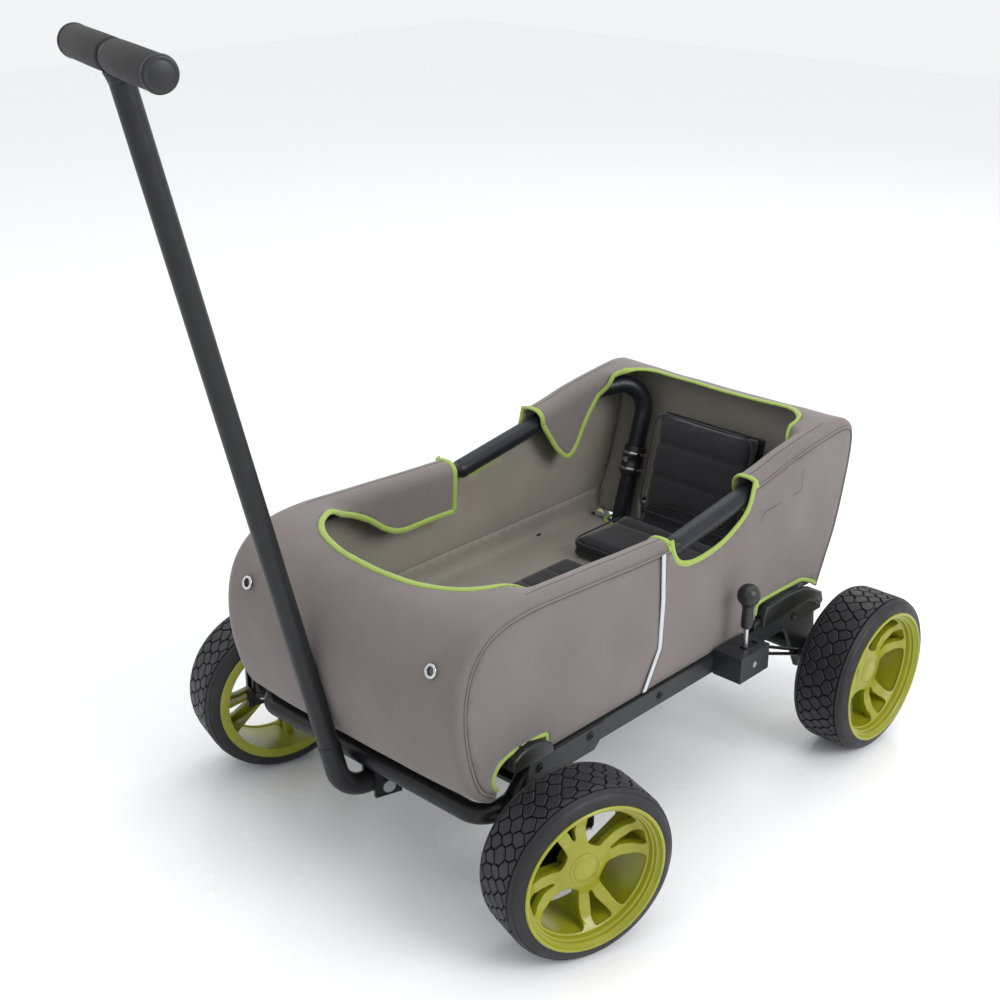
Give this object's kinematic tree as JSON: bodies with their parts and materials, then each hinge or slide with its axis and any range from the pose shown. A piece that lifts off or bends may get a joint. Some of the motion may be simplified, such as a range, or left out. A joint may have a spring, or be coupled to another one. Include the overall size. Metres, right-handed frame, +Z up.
{
  "type": "kids pull wagon",
  "caption": "Child's four-wheeled pull wagon with a steered front, T-bar pull handle, soft fabric tub on a tube frame, padded seat insert and hand brake.",
  "frame": {"origin": "on the ground below the middle of the chassis", "axes": "+Z up, -Y to the front where the pull handle is, +X to the wagon's left side, where the brake lever is"},
  "size_m": [0.6616, 1.0015, 0.9545],
  "materials": {
    "black_steel": "satin black powder coat",
    "rail_paint": "satin dark grey powder coat",
    "handle_paint": "satin charcoal powder coat",
    "hoop_paint": "satin blue-black powder coat",
    "zinc_steel": "zinc plated",
    "eyelet_metal": "pressed nickel-plated eyelet",
    "tyre_rubber": "foamed rubber with block tread",
    "rim_plastic": "moulded lime-olive plastic, satin",
    "cap_plastic": "moulded lime-olive plastic, satin",
    "black_plastic": "moulded, fine texture",
    "grip_foam": "closed-cell foam",
    "floor_plastic": "fabric-covered board",
    "tub_fabric": "taupe woven polyester, coated inside",
    "pad_fabric": "black quilted polyester",
    "piping_fabric": "lime bias binding",
    "reflective_tape": "woven reflective tape"
  },
  "bodies": {
    "chassis": {"rail_left": "rail_paint", "rail_right": "rail_paint", "front_rail": "black_steel", "gusset_plates": "rail_paint", "cross_members": "black_steel", "rear_brackets": "rail_paint", "rear_axle_beam": "black_steel", "rear_axle": "zinc_steel", "kingpins": "zinc_steel", "front_hoops": "hoop_paint", "rear_hoops": "hoop_paint", "rear_legs": "hoop_paint", "leg_collars": "black_plastic", "leg_sockets": "black_plastic", "floor_board": "floor_plastic", "floor_mat": "pad_fabric", "seat_cushion": "pad_fabric", "backrest_hinge_pin": "zinc_steel", "front_panel": "tub_fabric", "rear_panel": "tub_fabric", "side_panel_left": "tub_fabric", "side_panel_right": "tub_fabric", "piping": "piping_fabric", "grommets": "eyelet_metal", "reflective_strips": "reflective_tape", "brake_housing": "rail_paint", "brake_pin": "zinc_steel"},
    "steering": {"steering_yoke": "black_steel", "yoke_nut": "zinc_steel", "handle_pivot_pin": "zinc_steel"},
    "pull_handle": {"handle_bend": "black_steel", "handle_tube": "handle_paint", "crossbar": "black_steel", "grip_sleeves": "grip_foam", "grip_caps": "black_plastic", "grip_collar": "black_plastic"},
    "knuckle_left": {"knuckle_left": "black_steel"},
    "knuckle_right": {"knuckle_right": "black_steel"},
    "tie_rod": {"tie_rod": "black_steel", "tie_rod_pins": "zinc_steel"},
    "backrest": {"backrest_board": "black_plastic", "backrest_cushion": "pad_fabric"},
    "brake_lever": {"brake_lever": "black_steel", "brake_knob": "black_plastic"},
    "brake_bow": {"brake_bow": "black_steel"},
    "snap_button_left": {"snap_button_left": "zinc_steel"},
    "snap_button_right": {"snap_button_right": "zinc_steel"},
    "wheel_front_left": {"tyre_front_left": "tyre_rubber", "rim_front_left": "rim_plastic", "hub_cap_front_left": "cap_plastic"},
    "wheel_front_right": {"tyre_front_right": "tyre_rubber", "rim_front_right": "rim_plastic", "hub_cap_front_right": "cap_plastic"},
    "wheel_rear_left": {"tyre_rear_left": "tyre_rubber", "rim_rear_left": "rim_plastic", "hub_cap_rear_left": "cap_plastic"},
    "wheel_rear_right": {"tyre_rear_right": "tyre_rubber", "rim_rear_right": "rim_plastic", "hub_cap_rear_right": "cap_plastic"}
  },
  "joints": [
    {"name": "steering_turn", "type": "hinge", "parent": "chassis", "child": "steering", "pos_m": [0, -0.319, 0.14], "axis": [0, 0, 1], "range_deg": [0, 34]},
    {"name": "knuckle_left_turn", "type": "hinge", "parent": "chassis", "child": "knuckle_left", "pos_m": [0.232, -0.319, 0.14], "axis": [0, 0, 1], "range_deg": [0, 34]},
    {"name": "knuckle_right_turn", "type": "hinge", "parent": "chassis", "child": "knuckle_right", "pos_m": [-0.232, -0.319, 0.14], "axis": [0, 0, 1], "range_deg": [0, 34]},
    {"name": "tie_rod_turn", "type": "hinge", "parent": "knuckle_left", "child": "tie_rod", "pos_m": [0.2513, -0.25588, 0.125], "axis": [0, 0, 1], "range_deg": [-34, 0]},
    {"name": "handle_lower", "type": "hinge", "parent": "steering", "child": "pull_handle", "pos_m": [-0.00292, -0.32856, 0.099], "axis": [0.9563, -0.2924, 0], "range_deg": [0, 72]},
    {"name": "backrest_fold", "type": "hinge", "parent": "chassis", "child": "backrest", "pos_m": [0, 0.268, 0.2405], "axis": [1, 0, 0], "range_deg": [0, 54]},
    {"name": "brake_lever_pull", "type": "hinge", "parent": "chassis", "child": "brake_lever", "pos_m": [0.222, 0.078, 0.178], "axis": [1, 0, 0], "range_deg": [-26, 0]},
    {"name": "brake_bow_turn", "type": "hinge", "parent": "chassis", "child": "brake_bow", "pos_m": [0.209, 0.078, 0.178], "axis": [1, 0, 0], "range_deg": [-3.9, 0]},
    {"name": "snap_button_left_press", "type": "slide", "parent": "chassis", "child": "snap_button_left", "axis": [0, 1, 0], "range_m": [0, 0.003], "stiffness_N_per_m": 150},
    {"name": "snap_button_right_press", "type": "slide", "parent": "chassis", "child": "snap_button_right", "axis": [0, 1, 0], "range_m": [0, 0.003], "stiffness_N_per_m": 150},
    {"name": "wheel_front_left_spin", "type": "hinge", "parent": "knuckle_left", "child": "wheel_front_left", "pos_m": [0.27615, -0.30113, 0.105], "axis": [0.9563, -0.2924, 0], "continuous": true},
    {"name": "wheel_front_right_spin", "type": "hinge", "parent": "knuckle_right", "child": "wheel_front_right", "pos_m": [-0.25861, -0.27949, 0.105], "axis": [0.9563, -0.2924, 0], "continuous": true},
    {"name": "wheel_rear_left_spin", "type": "hinge", "parent": "chassis", "child": "wheel_rear_left", "pos_m": [0.269, 0.281, 0.105], "axis": [1, 0, 0], "continuous": true},
    {"name": "wheel_rear_right_spin", "type": "hinge", "parent": "chassis", "child": "wheel_rear_right", "pos_m": [-0.269, 0.281, 0.105], "axis": [1, 0, 0], "continuous": true}
  ],
  "couplings": [
    {"joint": "knuckle_left_turn", "follows": "steering_turn", "ratio": 1},
    {"joint": "knuckle_right_turn", "follows": "steering_turn", "ratio": 1},
    {"joint": "tie_rod_turn", "follows": "steering_turn", "ratio": -1},
    {"joint": "brake_bow_turn", "follows": "brake_lever_pull", "ratio": 0.15}
  ]
}
